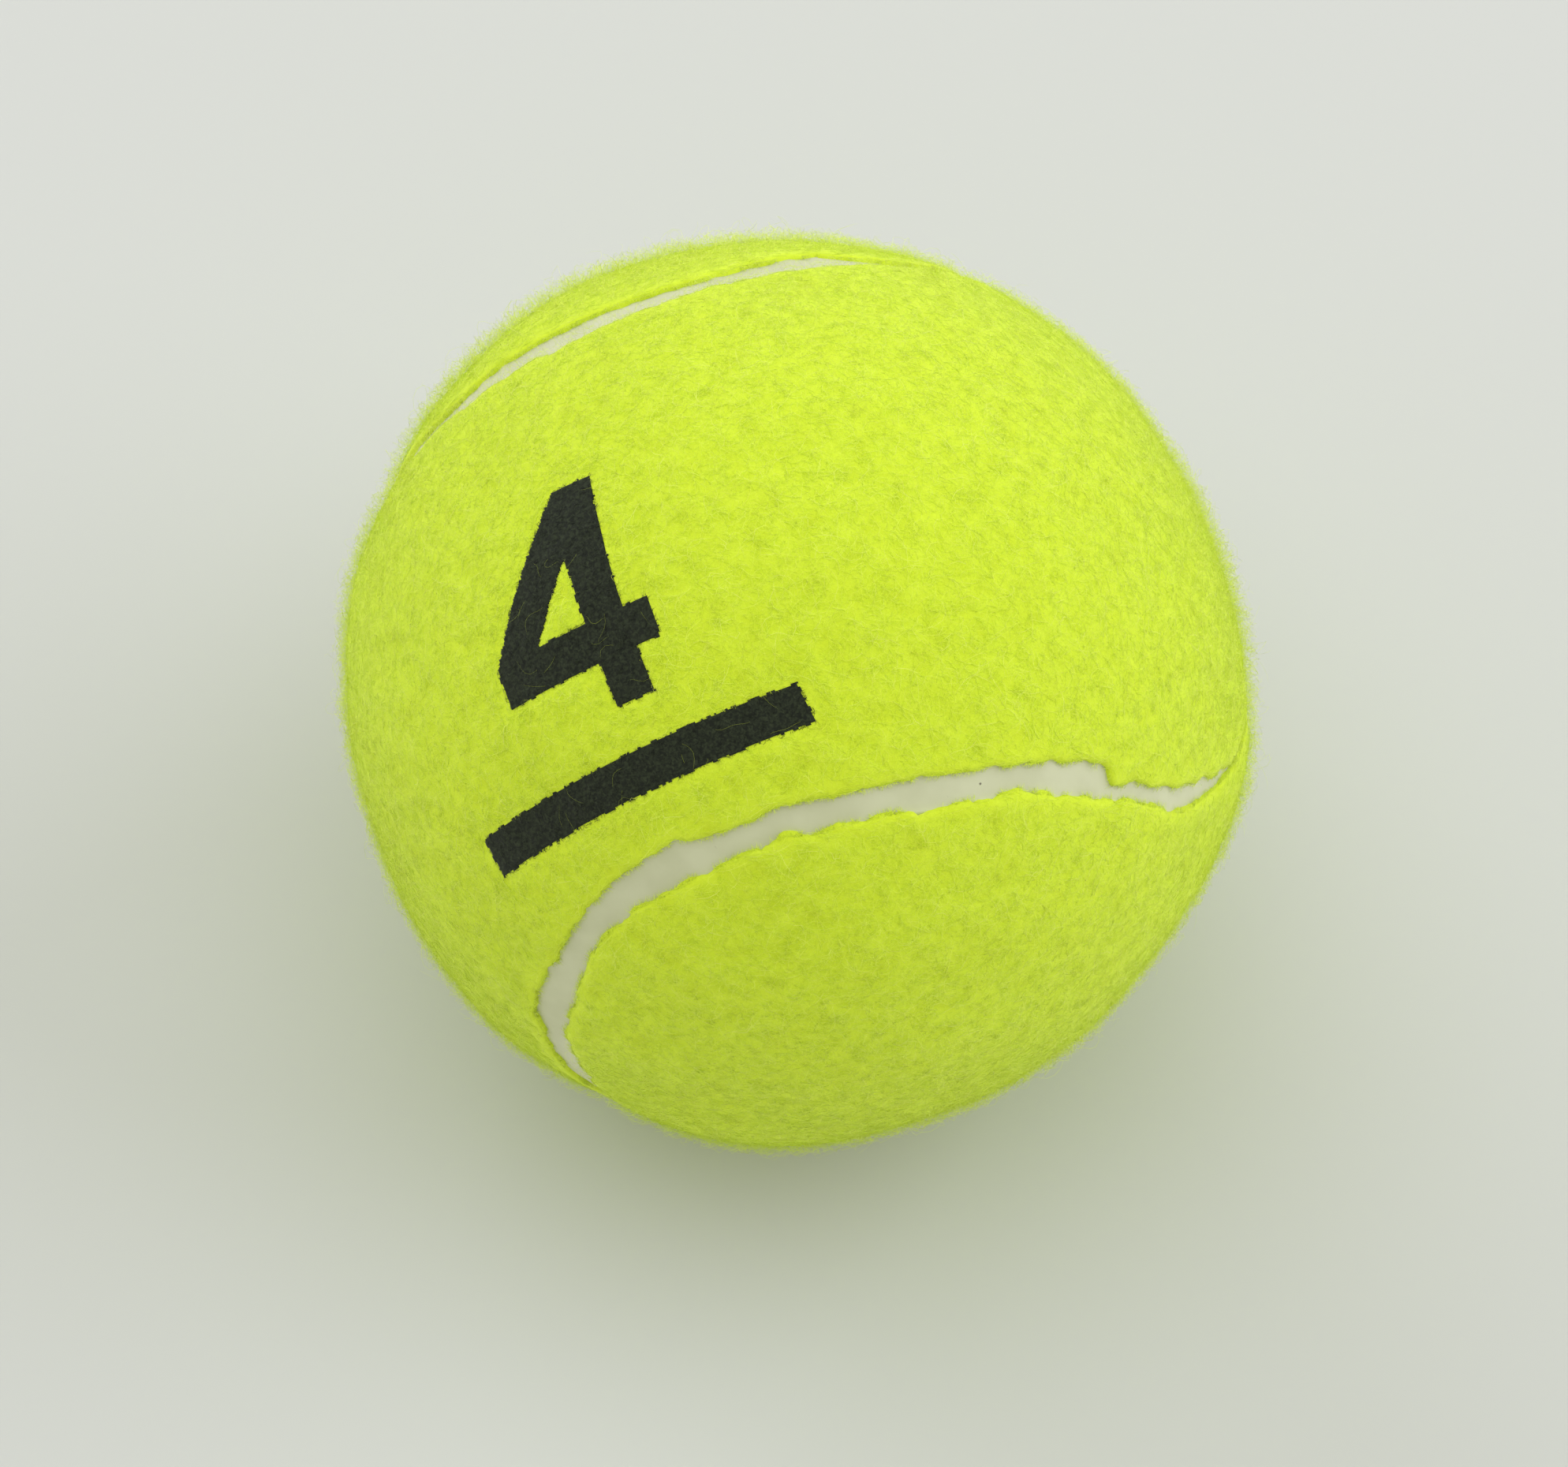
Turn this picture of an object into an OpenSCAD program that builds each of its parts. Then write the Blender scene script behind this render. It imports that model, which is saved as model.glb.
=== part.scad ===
// Tennis ball, lying with its seams as photographed.
// Millimetres, +Z up, origin at the centre of the ball.
// The seam's centre line is four circular arcs on the ball, one round each end lobe of the two
// cloth panels. Panel a has its waist at the ball's own +Z, and panel b has its waist at -Z.

/* [Core] */
// Outer diameter of the moulded rubber core
core_d = 59.4; // [57:0.1:61]
// Wall of the core's half shells
core_wall = 3.4; // [2.8:0.1:4.8]
// Thickness of the cement between the half shells
joint_t = 0.2; // [0.1:0.05:0.6]
// Thickness of the cement film over the core
film_t = 0.3; // [0.1:0.05:0.6]

/* [Cover] */
// Thickness of the felt cloth with its nap
felt_t = 3.2; // [2.6:0.1:4]
// Width of the rubber seam between the cloth panels
seam_w = 3.1; // [2:0.1:5]
// Depth of the seam's face below the face of the felt
seam_drop = 0.7; // [0.3:0.05:1.5]
// Angle by which each lobe's centre lies past the plane between the two waists
lobe_tilt = 6; // [2:0.5:20]

/* [Printed mark] */
// Height of the numeral
mark_h = 17; // [8:0.5:20]
// Width of the numeral
mark_w = 13; // [7:0.5:16]
// Width of the numeral's strokes
stroke_w = 3.2; // [1.5:0.1:3.6]
// Length of the bar under the numeral
bar_l = 27; // [10:0.5:30]
// Width of the bar
bar_w = 3; // [1.5:0.1:4]
// Gap between the numeral and the bar
bar_gap = 3; // [1:0.1:5]
// Depth to which the ink lies in the nap
ink_t = 0.2; // [0.1:0.05:0.5]
// Longitude of the mark in the ball's own frame
mark_lon = -28; // [-60:1:20]
// Latitude of the mark in the ball's own frame
mark_lat = 70; // [65:0.5:80]
// Turn of the mark about its own middle
mark_spin = 22; // [-180:1:180]

/* [Lie] */
// Turn of the ball about X as it lies
lie_x = 4; // [-180:1:180]
// Turn of the ball about Y as it lies
lie_y = -52; // [-180:1:180]
// Turn of the ball about Z as it lies
lie_z = 15; // [-180:1:180]

/* [Hidden] */
$fn = 180;

core_r = core_d / 2;
film_r = core_r + film_t;
ball_r = film_r + felt_t;
seam_r = ball_r - seam_drop;
// How far every cutting solid runs past what it cuts
overrun = 2;
reach = ball_r + overrun;

// Angle at the ball's centre from a lobe's axis to the middle of the seam round it
lobe_angle = acos(cos(lobe_tilt) * sqrt(1 / 2));
half_seam_angle = asin(seam_w / 2 / ball_r);
// From a lobe's axis to the seam's inner edge, which is the edge of the lobe
lobe_edge = lobe_angle - half_seam_angle;
// From a lobe's axis to the seam's outer edge, where the other panel's waist begins
waist_edge = lobe_angle + half_seam_angle;

// Height of the numeral's crossbar as a share of the numeral's height
cross_rise_share = 0.2;
// What the crossbar sticks out past the upright, as a share of a stroke
cross_end_share = 0.6;
// Level width of the sloping stroke as a share of a stroke
slope_share = 1.3;

module shell(r_out, r_in) {
    difference() {
        sphere(r = r_out);
        sphere(r = r_in);
    }
}

// A layer of the cover all round the ball, with its spheres' poles in the lobes of panel a
module cover_layer(r_out, r_in) {
    rotate([0, 90, 0]) shell(r_out, r_in);
}

// Everything above the ball's own equator by at least the given height
module upper_space(from = 0) {
    translate([-reach, -reach, from]) cube([2 * reach, 2 * reach, reach]);
}

module lower_space(from = 0) {
    rotate([180, 0, 0]) upper_space(from);
}

// Two opposite cones from the ball's centre round the lobes of panel a
module lobe_cones(half_angle) {
    for (side = [0, 180])
        rotate([0, 90 + lobe_tilt, side])
            cylinder(h = reach, r1 = 0, r2 = reach * tan(half_angle));
}

// Moves what belongs to panel a to the place of panel b
module as_panel_b() {
    rotate([180, 0, 90]) children();
}

// The dumbbell of panel a between two radii: its waist over the upper half of the ball,
// and its two lobes over the lower half
module panel(r_out, r_in) {
    difference() {
        intersection() {
            cover_layer(r_out, r_in);
            upper_space();
        }
        as_panel_b() lobe_cones(waist_edge);
    }
    intersection() {
        cover_layer(r_out, r_in);
        lower_space();
        lobe_cones(lobe_edge);
    }
}

// The half of the seam that runs round the lobes of panel a
module seam_round_lobes(r_out, r_in) {
    intersection() {
        cover_layer(r_out, r_in);
        lower_space();
        difference() {
            lobe_cones(waist_edge);
            lobe_cones(lobe_edge);
        }
    }
}

// The numeral, its foot on the X axis and its left end on the Y axis
module numeral() {
    cross_low = cross_rise_share * mark_h;
    cross_top = cross_low + stroke_w;
    upright_right = mark_w - cross_end_share * stroke_w;
    upright_left = upright_right - stroke_w;
    slope_w = slope_share * stroke_w;
    slope_rise = (mark_h - cross_top) * slope_w / upright_left;
    difference() {
        polygon([[0, cross_low], [0, cross_top], [upright_left, mark_h], [upright_right, mark_h],
                 [upright_right, cross_top], [mark_w, cross_top], [mark_w, cross_low],
                 [upright_right, cross_low], [upright_right, 0], [upright_left, 0],
                 [upright_left, cross_low]]);
        polygon([[slope_w, cross_top], [upright_left, mark_h - slope_rise], [upright_left, cross_top]]);
    }
}

// The numeral and the bar under it, flat, about their common middle
module mark_outline() {
    foot = (bar_w + bar_gap - mark_h) / 2;
    translate([-mark_w / 2, foot]) numeral();
    translate([-bar_l / 2, foot - bar_gap - bar_w]) square([bar_l, bar_w]);
}

// The mark as it cuts through a layer of panel a
module mark_in_layer(r_out, r_in) {
    intersection() {
        panel(r_out, r_in);
        rotate([0, 90 - mark_lat, mark_lon]) rotate(mark_spin)
            linear_extrude(height = reach) mark_outline();
    }
}

module as_it_lies() {
    rotate([lie_x, lie_y, lie_z]) children();
}

module core_half() {
    intersection() {
        shell(core_r, core_r - core_wall);
        upper_space(joint_t / 2);
    }
}

module core_shell_upper() {
    color("dimgray") as_it_lies() core_half();
}

module core_shell_lower() {
    color("dimgray") as_it_lies() rotate([180, 0, 0]) core_half();
}

module core_cement_ring() {
    color("darkgoldenrod") as_it_lies() intersection() {
        shell(core_r, core_r - core_wall);
        translate([-reach, -reach, -joint_t / 2]) cube([2 * reach, 2 * reach, joint_t]);
    }
}

module core_cement_film() {
    color("wheat") as_it_lies() shell(film_r, core_r);
}

module felt_panel_a() {
    color([0.80, 0.90, 0.20]) as_it_lies() difference() {
        panel(ball_r, film_r);
        mark_in_layer(reach, ball_r - ink_t);
    }
}

module felt_panel_b() {
    color([0.76, 0.87, 0.22]) as_it_lies() as_panel_b() panel(ball_r, film_r);
}

module seam_rubber() {
    color([0.77, 0.77, 0.66]) as_it_lies() {
        seam_round_lobes(seam_r, film_r);
        as_panel_b() seam_round_lobes(seam_r, film_r);
    }
}

module printed_mark() {
    color([0.12, 0.13, 0.11]) as_it_lies() mark_in_layer(ball_r, ball_r - ink_t);
}

core_shell_upper();
core_shell_lower();
core_cement_ring();
core_cement_film();
felt_panel_a();
felt_panel_b();
seam_rubber();
printed_mark();
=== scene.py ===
"""A tennis ball's looks: its cloth, nap, rubber seam and print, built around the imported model.

Shapes are worked out in millimetres in the ball's own frame, in which panel a has its waist at +Z
and panel b has its waist at -Z. They are turned to the ball's lie when each mesh is made.
"""

import logging
import math
from dataclasses import dataclass, field, replace
from enum import Enum

import bmesh
import bpy
import numpy as np
from mathutils import Matrix, Vector


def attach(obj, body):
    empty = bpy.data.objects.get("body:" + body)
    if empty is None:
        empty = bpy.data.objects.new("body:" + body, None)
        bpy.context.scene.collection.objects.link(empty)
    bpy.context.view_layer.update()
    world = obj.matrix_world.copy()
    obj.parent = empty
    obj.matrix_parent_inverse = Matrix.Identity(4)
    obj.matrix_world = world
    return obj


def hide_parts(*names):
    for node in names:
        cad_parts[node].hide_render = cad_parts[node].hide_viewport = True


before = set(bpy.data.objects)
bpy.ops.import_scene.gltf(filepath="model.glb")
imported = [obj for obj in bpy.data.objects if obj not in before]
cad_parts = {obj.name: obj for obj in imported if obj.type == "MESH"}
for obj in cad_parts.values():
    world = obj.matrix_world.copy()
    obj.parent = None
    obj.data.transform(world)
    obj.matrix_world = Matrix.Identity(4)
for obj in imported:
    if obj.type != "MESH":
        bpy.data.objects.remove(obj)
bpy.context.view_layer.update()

log = logging.getLogger("tennis_ball")
Array = np.ndarray
Socket = bpy.types.NodeSocket
Colour = tuple[float, float, float]
Noise = tuple[float, ...]
MM = 0.001
ICOSAHEDRON_EDGE = 63.4
BODY = "root"


def unit(vectors: Array) -> Array:
    """Scales each vector to a length of 1."""
    return vectors / np.linalg.norm(vectors, axis=-1, keepdims=True)


def turn(axis: int, degrees: float) -> Array:
    """Makes the matrix of a turn about X, Y or Z.

    Args:
        axis: 0, 1 or 2 for X, Y or Z.
        degrees: The angle of the turn.

    Returns:
        A 3 by 3 matrix.
    """
    cosine, sine = math.cos(math.radians(degrees)), math.sin(math.radians(degrees))
    first, second = (axis + 1) % 3, (axis + 2) % 3
    matrix = np.eye(3)
    matrix[first, first] = matrix[second, second] = cosine
    matrix[second, first] = sine
    matrix[first, second] = -sine
    return matrix


def direction(azimuth: float, slope: float) -> Array:
    """Makes a unit vector.

    Args:
        azimuth: Its angle from +X about Z in degrees.
        slope: Its angle above the level in degrees.

    Returns:
        The vector.
    """
    turned, raised = math.radians(azimuth), math.radians(slope)
    level = math.cos(raised)
    return np.array([level * math.cos(turned), level * math.sin(turned), math.sin(raised)])


def outer_radius(node: str) -> float:
    """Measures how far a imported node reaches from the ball's centre, in millimetres."""
    return max(vertex.co.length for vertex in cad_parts[node].data.vertices) / MM


class Panel(Enum):
    """The two cloth panels of the cover."""

    A = "a"
    B = "b"


class Arc(Enum):
    """The four arcs of the seam, each named by the lobe that it goes round."""

    A_PLUS = 0
    B_PLUS = 1
    A_MINUS = 2
    B_MINUS = 3


class Grain:
    """A smooth random pattern in space, the sum of many waves of about one length."""

    def __init__(self, seed: int, wavelength: float, waves: int = 28) -> None:
        """Draws the waves.

        Args:
            seed: The seed of the draw.
            wavelength: About how far apart like places lie, in millimetres.
            waves: How many waves are summed.
        """
        rng = np.random.default_rng(seed)
        ways = unit(rng.normal(size=(waves, 3)))
        lengths = wavelength * rng.uniform(0.75, 1.35, waves)
        self.numbers = ways * (2 * np.pi / lengths)[:, None]
        self.phases = rng.uniform(0, 2 * np.pi, waves)

    def at(self, points: Array) -> Array:
        """Reads the pattern, whose values spread about 0 by 1.

        Args:
            points: Places in millimetres, one to a row.

        Returns:
            One value for each place.
        """
        waves = np.cos(points @ self.numbers.T + self.phases)
        return waves.sum(axis=1) * math.sqrt(2 / len(self.phases))


@dataclass(frozen=True)
class Stretch:
    """Where the cloth's two edges lie along one arc of the seam.

    Each stop holds an azimuth round the lobe in degrees, then how far the edges of panel a and of
    panel b lie from the seam's middle line, in millimetres towards panel a.
    """

    stops: tuple[tuple[float, float, float], ...]

    def edges(self, azimuth: Array) -> tuple[Array, Array]:
        """Reads both edges at some azimuths.

        Args:
            azimuth: Azimuths in degrees.

        Returns:
            The places of panel a's edge and of panel b's edge.
        """
        stops = sorted(self.stops)
        at = [stop[0] for stop in stops]
        edge_a = np.interp(azimuth, at, [stop[1] for stop in stops])
        edge_b = np.interp(azimuth, at, [stop[2] for stop in stops])
        return edge_a, edge_b


@dataclass(frozen=True)
class SeamPath:
    """The line along which the two panels meet: four arcs of one size of circle on the ball."""

    radius: float
    half_width: float = 1.55
    lobe_tilt: float = 6.0
    ragged: tuple[tuple[float, float], ...] = ((2.6, 0.11), (0.9, 0.05))
    seed: int = 11

    @property
    def lobe_angle(self) -> float:
        """The angle in radians from a lobe's axis to the seam's middle line."""
        return math.acos(math.cos(math.radians(self.lobe_tilt)) * math.sqrt(0.5))

    @property
    def last_azimuth(self) -> float:
        """The azimuth in degrees at which each arc passes into the next."""
        tilt = math.radians(self.lobe_tilt)
        return math.degrees(math.acos(-math.tan(tilt) / math.tan(self.lobe_angle)))

    def lobes(self) -> tuple[Array, Array, Array]:
        """Works out the frame of each lobe.

        Returns:
            For the arcs in their order: the lobes' axes, the directions from which azimuth is
            counted, and the directions at an azimuth of 90 degrees.
        """
        cosine = math.cos(math.radians(self.lobe_tilt))
        sine = math.sin(math.radians(self.lobe_tilt))
        axes = np.array(
            [(cosine, 0, -sine), (0, cosine, sine), (-cosine, 0, -sine), (0, -cosine, sine)]
        )
        poles = np.array([(0, 0, -1), (0, 0, 1), (0, 0, -1), (0, 0, 1)], float)
        start = unit(poles - (poles * axes).sum(axis=1, keepdims=True) * axes)
        return axes, start, np.cross(axes, start)

    def stretches(self) -> tuple[Stretch, ...]:
        """Gives the cloth's edges along each arc, as they were cut and glued on this ball.

        Returns:
            One stretch for each arc, in their order.
        """
        plain = ((-96.0, self.half_width, -self.half_width), (96.0, self.half_width, -self.half_width))
        right_lobe = Stretch(
            (
                (-96.0, 2.0, -0.3),
                (-93.2, 2.0, -0.2),
                (-92.4, 0.8, 0.0),
                (-86.0, 1.4, 0.1),
                (-81.0, 1.3, -0.2),
                (-75.0, 0.9, -0.6),
                (-69.0, 0.8, -1.3),
                (-48.0, -0.6, -1.1),
                (-25.0, 0.2, -0.8),
                (40.0, 1.6, -1.5),
                (70.0, 2.6, 0.6),
                (88.0, 4.2, 2.7),
                (96.0, 4.3, 2.8),
            )
        )
        far_lobe = Stretch(
            (
                (-96.0, 1.6, -1.6),
                (-20.0, 1.2, -0.4),
                (6.0, 1.2, -0.4),
                (14.0, 1.6, -0.6),
                (20.0, 1.4, -0.6),
                (26.0, 2.0, -0.7),
                (38.0, 2.0, -0.7),
                (50.0, 2.5, 0.3),
                (56.0, 2.5, 0.5),
                (66.0, 2.7, 0.0),
                (72.0, 2.9, 0.2),
                (78.0, 3.6, 0.4),
                (84.0, 3.8, 2.0),
                (90.0, 4.2, 2.7),
                (96.0, 4.3, 2.8),
            )
        )
        front_lobe = Stretch(
            (
                (96.0, 1.6, -1.6),
                (60.0, 1.2, -1.1),
                (50.0, 1.0, -1.6),
                (43.0, 0.8, -1.4),
                (36.0, 1.4, -1.4),
                (25.0, 1.1, -1.7),
                (19.0, 0.7, -1.4),
                (12.0, 1.1, -1.0),
                (5.0, 1.1, -1.0),
                (-4.0, 1.6, -0.9),
                (-12.0, 1.5, -1.5),
                (-19.0, 1.5, -1.4),
                (-23.0, 0.7, -1.6),
                (-30.0, 0.5, -1.5),
                (-36.0, 0.8, -1.4),
                (-41.0, 0.7, -1.9),
                (-48.0, 0.3, -1.8),
                (-66.0, 0.6, -1.7),
                (-74.0, 0.9, -1.1),
                (-80.0, 1.3, -0.6),
                (-88.0, 1.7, -0.7),
                (-91.0, 2.1, -0.4),
                (-96.0, 2.0, -0.3),
            )
        )
        return right_lobe, far_lobe, Stretch(plain), front_lobe

    def locate(self, directions: Array) -> tuple[Array, Array, Array, Array]:
        """Finds where directions lie beside the seam.

        Args:
            directions: Unit vectors in the ball's frame.

        Returns:
            The arc's number, the azimuth round its lobe in degrees, the distance from the middle
            line in millimetres towards panel a, and the unit tangent in which it grows.
        """
        axes, start, side = self.lobes()
        upper = directions[:, 2] >= 0
        arc_b = np.where(directions[:, 1] > 0, Arc.B_PLUS.value, Arc.B_MINUS.value)
        arc_a = np.where(directions[:, 0] > 0, Arc.A_PLUS.value, Arc.A_MINUS.value)
        arc = np.where(upper, arc_b, arc_a)
        axis = axes[arc]
        cosine = np.clip((directions * axis).sum(axis=1), -1, 1)
        angle = np.arccos(cosine)
        along = (directions * start[arc]).sum(axis=1)
        across = (directions * side[arc]).sum(axis=1)
        azimuth = np.degrees(np.arctan2(across, along))
        sign = np.where(upper, 1.0, -1.0)
        offset = sign * (angle - self.lobe_angle) * self.radius
        away = directions * cosine[:, None] - axis
        return arc, azimuth, offset, unit(away) * sign[:, None]

    def place(self, arc: Arc, azimuth: Array, offset: Array) -> Array:
        """Finds the directions of places beside the seam.

        Args:
            arc: The arc that they lie beside.
            azimuth: Azimuths round its lobe in degrees.
            offset: Distances from the middle line in millimetres towards panel a.

        Returns:
            Unit vectors in the ball's frame.
        """
        axes, start, side = self.lobes()
        number = arc.value
        sign = 1.0 if arc in (Arc.B_PLUS, Arc.B_MINUS) else -1.0
        angle = (self.lobe_angle + sign * offset / self.radius)[:, None]
        turned = np.radians(azimuth)[:, None]
        outwards = np.cos(turned) * start[number] + np.sin(turned) * side[number]
        return np.cos(angle) * axes[number] + np.sin(angle) * outwards

    def smooth_edges(self, arc: Array, azimuth: Array) -> tuple[Array, Array]:
        """Gives the places of both cloth edges, without their raggedness.

        Args:
            arc: The arcs' numbers.
            azimuth: Azimuths in degrees.

        Returns:
            The edges of panel a and of panel b, in millimetres towards panel a.
        """
        edge_a, edge_b = np.empty(len(arc)), np.empty(len(arc))
        for number, stretch in enumerate(self.stretches()):
            here = arc == number
            edge_a[here], edge_b[here] = stretch.edges(azimuth[here])
        return edge_a, edge_b

    def inside(self, directions: Array, panel: Panel) -> tuple[Array, Array]:
        """Measures how far inside a panel's ragged edge directions lie.

        Args:
            directions: Unit vectors in the ball's frame.
            panel: The panel.

        Returns:
            The distances in millimetres, below 0 outside the panel, and the unit tangents that
            point into the panel.
        """
        arc, azimuth, offset, towards_a = self.locate(directions)
        edge_a, edge_b = self.smooth_edges(arc, azimuth)
        rough = np.zeros(len(directions))
        for step, (length, height) in enumerate(self.ragged):
            seed = self.seed + 10 * step + (panel is Panel.B)
            rough += height * Grain(seed, length).at(directions * self.radius)
        if panel is Panel.A:
            return offset - edge_a - rough, towards_a
        return edge_b - rough - offset, -towards_a


@dataclass(frozen=True)
class Ball:
    """What the whole ball shares: its radii, its lie and its seam, in millimetres and degrees."""

    face: float
    film: float
    seam_face: float
    lie: tuple[float, float, float] = (4.0, -52.0, 15.0)

    @property
    def seam(self) -> SeamPath:
        """The seam's path, with distances measured on the face of the felt."""
        return SeamPath(self.face)

    def as_it_lies(self, points: Array) -> Array:
        """Turns points from the ball's own frame to the frame in which it lies."""
        about_x, about_y, about_z = self.lie
        matrix = turn(2, about_z) @ turn(1, about_y) @ turn(0, about_x)
        return points @ matrix.T


@dataclass(frozen=True)
class Swell:
    """A broad place where the cover stands higher or lower than a true ball.

    Its middle lies at an azimuth from +X and a slope above the level, in degrees as the ball lies.
    """

    azimuth: float
    slope: float
    rise: float
    half_angle: float

    def at(self, directions: Array) -> Array:
        """Gives the height that it adds, in millimetres, for unit vectors as the ball lies."""
        angle = np.arccos(np.clip(directions @ direction(self.azimuth, self.slope), -1, 1))
        share = np.clip(angle / math.radians(self.half_angle), 0, 1)
        return self.rise * (0.5 + 0.5 * np.cos(np.pi * share))


@dataclass(frozen=True)
class Mark:
    """The printed numeral and the bar under it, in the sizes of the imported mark."""

    height: float = 17.0
    width: float = 13.0
    stroke: float = 3.2
    bar: tuple[float, float] = (27.0, 3.0)
    gap: float = 3.0
    cross_rise_share: float = 0.2
    cross_end_share: float = 0.6
    slope_share: float = 1.3
    longitude: float = -28.0
    latitude: float = 70.0
    spin: float = 22.0
    ragged: tuple[tuple[float, float], ...] = ((0.8, 0.030), (0.3, 0.020))
    far: float = 99.0
    seed: int = 90

    def frame(self) -> Array:
        """The matrix from the mark's own frame, whose Z points outwards, to the ball's."""
        return turn(2, self.longitude) @ turn(1, 90 - self.latitude) @ turn(2, self.spin)

    def loops(self) -> list[Array]:
        """Draws the outline in the mark's own plane.

        Returns:
            The corners of the numeral, of the gap inside it and of the bar.
        """
        low = self.cross_rise_share * self.height
        top = low + self.stroke
        right = self.width - self.cross_end_share * self.stroke
        left = right - self.stroke
        slope = self.slope_share * self.stroke
        rise = (self.height - top) * slope / left
        numeral = [(0, low), (0, top), (left, self.height), (right, self.height), (right, top)]
        numeral += [(self.width, top), (self.width, low), (right, low), (right, 0), (left, 0), (left, low)]
        counter = [(slope, top), (left, self.height - rise), (left, top)]
        long, wide = self.bar
        bar = [(0, 0), (long, 0), (long, wide), (0, wide)]
        foot = (wide + self.gap - self.height) / 2
        place = np.array([-self.width / 2, foot])
        bar_place = np.array([-long / 2, foot - self.gap - wide])
        return [np.array(numeral) + place, np.array(counter) + place, np.array(bar) + bar_place]

    def depth(self, points: Array) -> Array:
        """Measures how far inside the outline points lie.

        Args:
            points: Places in the ball's frame in millimetres.

        Returns:
            Distances in millimetres, below 0 outside the outline.
        """
        local = points @ self.frame()
        flat = local[:, :2]
        nearest = np.full(len(points), self.far)
        within = np.zeros(len(points), bool)
        for loop in self.loops():
            for start, end in zip(loop, np.roll(loop, -1, axis=0), strict=True):
                side, reach = end - start, flat - start
                share = np.clip(reach @ side / (side @ side), 0, 1)
                away = np.linalg.norm(reach - share[:, None] * side, axis=1)
                nearest = np.minimum(nearest, away)
                crossed = (start[1] > flat[:, 1]) != (end[1] > flat[:, 1])
                crossing = start[0] + reach[:, 1] * side[0] / (side[1] or 1.0)
                within ^= crossed & (flat[:, 0] < crossing)
        signed = np.where(within, nearest, -nearest)
        return np.where(local[:, 2] > 0, signed, -self.far)

    def ragged_depth(self, points: Array) -> Array:
        """Measures depth inside the outline as the ink took to the nap, a little unevenly."""
        depth = self.depth(points)
        for step, (length, height) in enumerate(self.ragged):
            depth = depth + height * Grain(self.seed + step, length).at(points)
        return depth


@dataclass(frozen=True)
class Relief:
    """The heights of the cloth's surface over the face of the felt, in millimetres."""

    ball: Ball
    mark: Mark = Mark()
    depth: float = 0.26
    broad: tuple[float, float] = (11.0, 0.06)
    clumps: tuple[float, float] = (2.4, 0.018)
    tufts: tuple[float, float] = (1.15, 0.010)
    pressed: float = 0.10
    press_lead: float = 1.2
    press_blend: float = 0.8
    round_over: float = 0.7
    edge_drop: float = 0.18
    seed: int = 40
    swells: tuple[Swell, ...] = (
        Swell(134, 27, 0.85, 40),
        Swell(264, -26, 0.75, 24),
        Swell(349, -3, 0.85, 22),
        Swell(169, 11, 0.35, 15),
        Swell(226, -22, 0.30, 12),
        Swell(202, -8, -0.45, 32),
        Swell(25, 18, -0.45, 24),
    )

    def pile(self, directions: Array) -> Array:
        """Reads how thick the nap is at each place, as a value that spreads about 0 by 1."""
        points = directions * self.ball.face
        clumps = Grain(self.seed + 1, self.clumps[0]).at(points) * self.clumps[1]
        tufts = Grain(self.seed + 2, self.tufts[0]).at(points) * self.tufts[1]
        return (clumps + tufts) / math.hypot(self.clumps[1], self.tufts[1])

    def lift(self, directions: Array) -> Array:
        """Works out how far the whole cover stands off a true ball, in millimetres."""
        broad = Grain(self.seed, self.broad[0]).at(directions * self.ball.face) * self.broad[1]
        lying = self.ball.as_it_lies(directions)
        return broad + sum(swell.at(lying) for swell in self.swells)

    def ground(self, directions: Array, pile: Array, inside: Array) -> Array:
        """Works out the radius of the cloth's surface beneath the loose fibres.

        Args:
            directions: Unit vectors in the ball's frame.
            pile: What pile gives for them.
            inside: How far inside their panel's edge they lie, in millimetres.

        Returns:
            The radii in millimetres.
        """
        points = directions * self.ball.face
        nap = math.hypot(self.clumps[1], self.tufts[1]) * pile
        edge = self.edge_drop * np.clip(1 - inside / self.round_over, 0, 1) ** 2
        under_ink = np.clip(self.press_lead + self.mark.depth(points) / self.press_blend, 0, 1)
        pressed = self.pressed * under_ink
        return self.ball.face + self.lift(directions) + nap - self.depth - edge - pressed


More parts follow.
